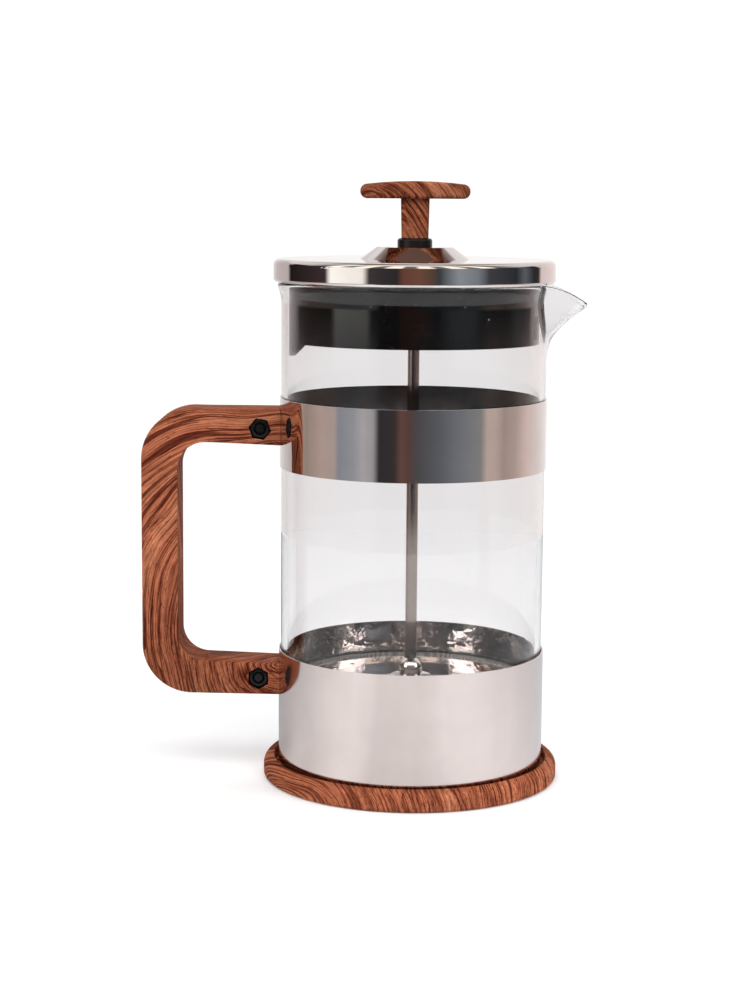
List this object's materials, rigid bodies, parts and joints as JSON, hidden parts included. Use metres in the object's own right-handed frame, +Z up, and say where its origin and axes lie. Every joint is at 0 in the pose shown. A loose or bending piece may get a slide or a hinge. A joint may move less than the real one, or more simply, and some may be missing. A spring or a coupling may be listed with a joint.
{
  "type": "french press",
  "caption": "French press with a glass beaker, steel cup and band, wood-print base, handle and knob, and a sliding plunger with a layered filter under a turning steel lid.",
  "frame": {"origin": "centre of the non-slip pad's underside, on the beaker's axis", "axes": "+Z up along the beaker's axis, +X towards the spout, -X towards the handle, +Y to the left of someone looking along +X"},
  "size_m": [0.1675, 0.1132, 0.2276],
  "materials": {
    "rubber_pad": "matt moulded",
    "wood_print": "satin wood-grain film over moulded plastic",
    "fastener_steel": "plain zinc",
    "satin_steel": "satin",
    "polished_steel": "mirror polished stainless steel",
    "clear_glass": "clear borosilicate",
    "black_fastener": "black oxide, satin",
    "black_plastic": "glossy moulded",
    "brass": "machined",
    "rod_steel": "polished stainless steel",
    "filter_steel": "polished stainless steel",
    "mesh_steel": "fine woven mesh"
  },
  "bodies": {
    "jug": {"base_pad": "rubber_pad", "base_plate": "wood_print", "base_screws": "fastener_steel", "base_cup": "satin_steel", "cup_bracket": "satin_steel", "band": "polished_steel", "beaker": "clear_glass", "handle": "wood_print", "handle_bolts": "black_fastener", "handle_nuts": "black_fastener"},
    "collar": {"lid_collar": "black_plastic", "collar_nut": "black_plastic"},
    "lid": {"lid_shell": "polished_steel", "inner_lid": "black_plastic"},
    "plunger": {"knob": "wood_print", "knob_insert": "brass", "plunger_rod": "rod_steel", "rod_hub": "rod_steel", "spiral_plate": "filter_steel", "edge_spring": "filter_steel", "filter_mesh": "mesh_steel", "cross_plate": "filter_steel", "cross_nut": "fastener_steel"}
  },
  "joints": [
    {"name": "lid_lift", "type": "slide", "parent": "jug", "child": "collar", "axis": [0, 0, 1], "range_m": [0, 0.17]},
    {"name": "lid_turn", "type": "hinge", "parent": "collar", "child": "lid", "pos_m": [0, 0, 0.195], "axis": [0, 0, 1], "continuous": true},
    {"name": "plunger_press", "type": "slide", "parent": "collar", "child": "plunger", "axis": [0, 0, 1], "range_m": [0, 0.12]}
  ]
}
